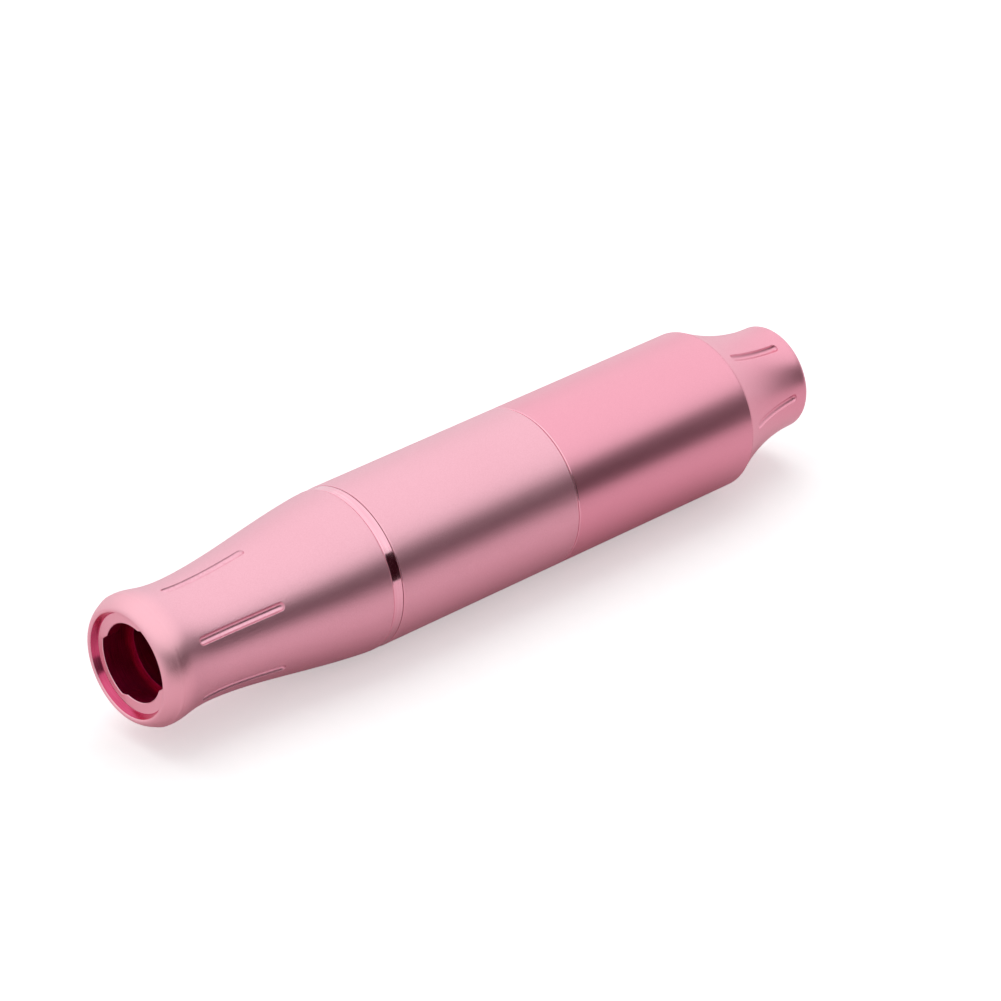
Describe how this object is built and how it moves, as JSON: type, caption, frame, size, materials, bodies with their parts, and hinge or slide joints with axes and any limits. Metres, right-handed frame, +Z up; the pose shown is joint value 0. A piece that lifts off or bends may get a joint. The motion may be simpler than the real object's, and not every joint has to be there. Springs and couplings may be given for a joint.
{
  "type": "rotary cartridge pen machine",
  "caption": "Slim round hand-held rotary machine: a waisted, grooved grip with a bayonet cartridge socket, a polished trim ring, a plain barrel and a concave tail with a recessed coaxial jack.",
  "frame": {"origin": "middle of the bounding box in plan, at the lowest line of the barrel that the pen lies on", "axes": "+X along the pen's axis from the nose to the tail, +Z up, and Y to complete a right-handed frame"},
  "size_m": [0.1076, 0.021, 0.021],
  "materials": {
    "blasted_pink": "bead-blasted and anodised, fine speckle, soft highlight",
    "satin_pink": "finer satin and anodised, a little more saturated",
    "polished_pink": "polished and anodised, mirror-like",
    "bright_steel": "ground",
    "nickel": "nickel plated",
    "brass": "turned",
    "bronze": "sintered, oily",
    "bare_aluminium": "turned",
    "copper": "enamelled winding",
    "magnet": "plated",
    "black_rubber": "matt, slightly greasy",
    "black_plastic": "moulded",
    "white_plastic": "machined, waxy",
    "red_lead": "insulation",
    "black_lead": "insulation"
  },
  "bodies": {
    "handle": {"front_sleeve": "polished_pink", "trim_ring": "polished_pink", "bar_bush": "bronze", "bar_seal": "black_rubber", "drive_housing": "bare_aluminium", "motor_can": "nickel", "motor_front_bush": "bronze", "motor_magnet": "magnet", "motor_end_cap": "black_plastic", "motor_rear_bush": "bronze", "motor_brushes": "bronze", "motor_terminals": "brass", "motor_screws": "bright_steel", "motor_damping_rings": "black_rubber", "mid_barrel": "blasted_pink", "rear_barrel": "satin_pink", "tail_cap": "satin_pink", "jack_shell": "nickel", "jack_insulator": "white_plastic", "jack_centre_contact": "brass", "jack_ground_tag": "brass", "jack_nut": "nickel", "positive_lead": "red_lead", "ground_lead": "black_lead"},
    "depth_seal": {"grip_o_ring": "black_rubber"},
    "grip": {"grip_shell": "blasted_pink"},
    "rotor": {"motor_shaft": "bright_steel", "rotor_coil": "copper", "commutator": "copper", "swash_cam": "bright_steel", "cam_set_screw": "bright_steel"},
    "needle_drive": {"drive_bar": "white_plastic", "roller_pin": "bright_steel", "guide_pin": "bright_steel"},
    "roller": {"cam_roller": "bright_steel"}
  },
  "joints": [
    {"name": "grip_advance", "type": "slide", "parent": "handle", "child": "depth_seal", "axis": [-1, 0, 0], "range_m": [0, 0.0035]},
    {"name": "grip_twist", "type": "hinge", "parent": "depth_seal", "child": "grip", "pos_m": [-0.0208, 0, 0.0105], "axis": [-1, 0, 0], "range_deg": [0, 300]},
    {"name": "motor_spin", "type": "hinge", "parent": "handle", "child": "rotor", "pos_m": [0, 0, 0.0105], "axis": [1, 0, 0], "continuous": true},
    {"name": "bar_stroke", "type": "slide", "parent": "handle", "child": "needle_drive", "axis": [1, 0, 0], "range_m": [0, 0.003]},
    {"name": "roller_spin", "type": "hinge", "parent": "needle_drive", "child": "roller", "pos_m": [-0.0118, 0, 0.0141], "axis": [0, 0, 1], "continuous": true}
  ],
  "couplings": [
    {"joint": "grip_twist", "follows": "grip_advance", "rad_per_m": 1495.9}
  ]
}
